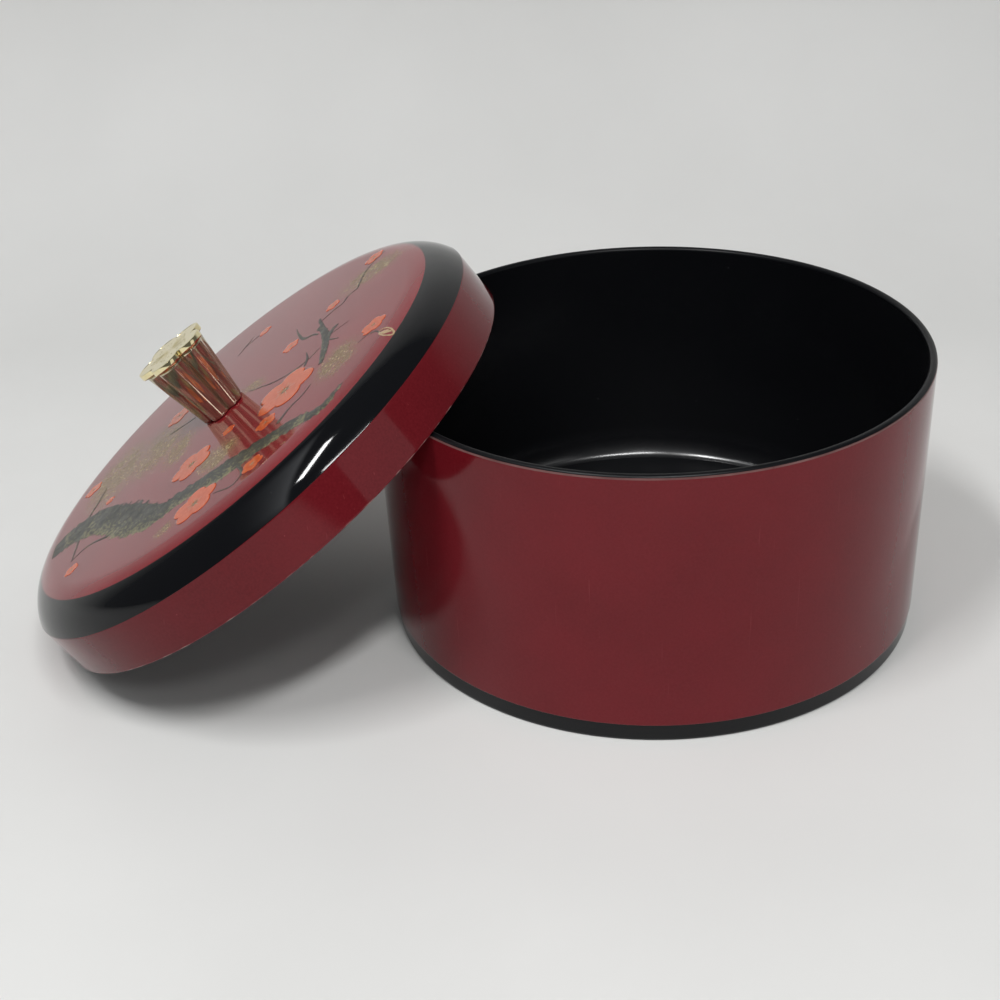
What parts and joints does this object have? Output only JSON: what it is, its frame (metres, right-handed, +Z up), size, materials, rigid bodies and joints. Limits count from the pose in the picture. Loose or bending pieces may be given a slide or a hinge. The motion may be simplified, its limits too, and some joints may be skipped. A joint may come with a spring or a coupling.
{
  "type": "trinket box",
  "caption": "Round lacquered trinket box with a foot ring, and its domed slip-over lid with a gold plum-blossom knob, set down leaning on the tub's rim.",
  "frame": {"origin": "on the table, under the middle of the whole box with its leaning lid", "axes": "+Z up along the tub's axis, +X from the leaning lid towards the tub, +Y to complete a right-handed frame"},
  "size_m": [0.2822, 0.1732, 0.1143],
  "materials": {
    "lacquer": "gloss",
    "gold_plate": "polished",
    "brass": "satin",
    "steel": "satin"
  },
  "bodies": {
    "tub": {"tub": "lacquer"},
    "lid": {"lid": "lacquer", "knob_body": "gold_plate", "knob_cap": "gold_plate", "knob_insert": "brass", "knob_screw": "steel", "screw_washer": "steel"}
  },
  "joints": [
    {"name": "lid_lift", "type": "slide", "parent": "tub", "child": "lid", "axis": [0, 0, 1], "range_m": [0, 0.12]}
  ]
}
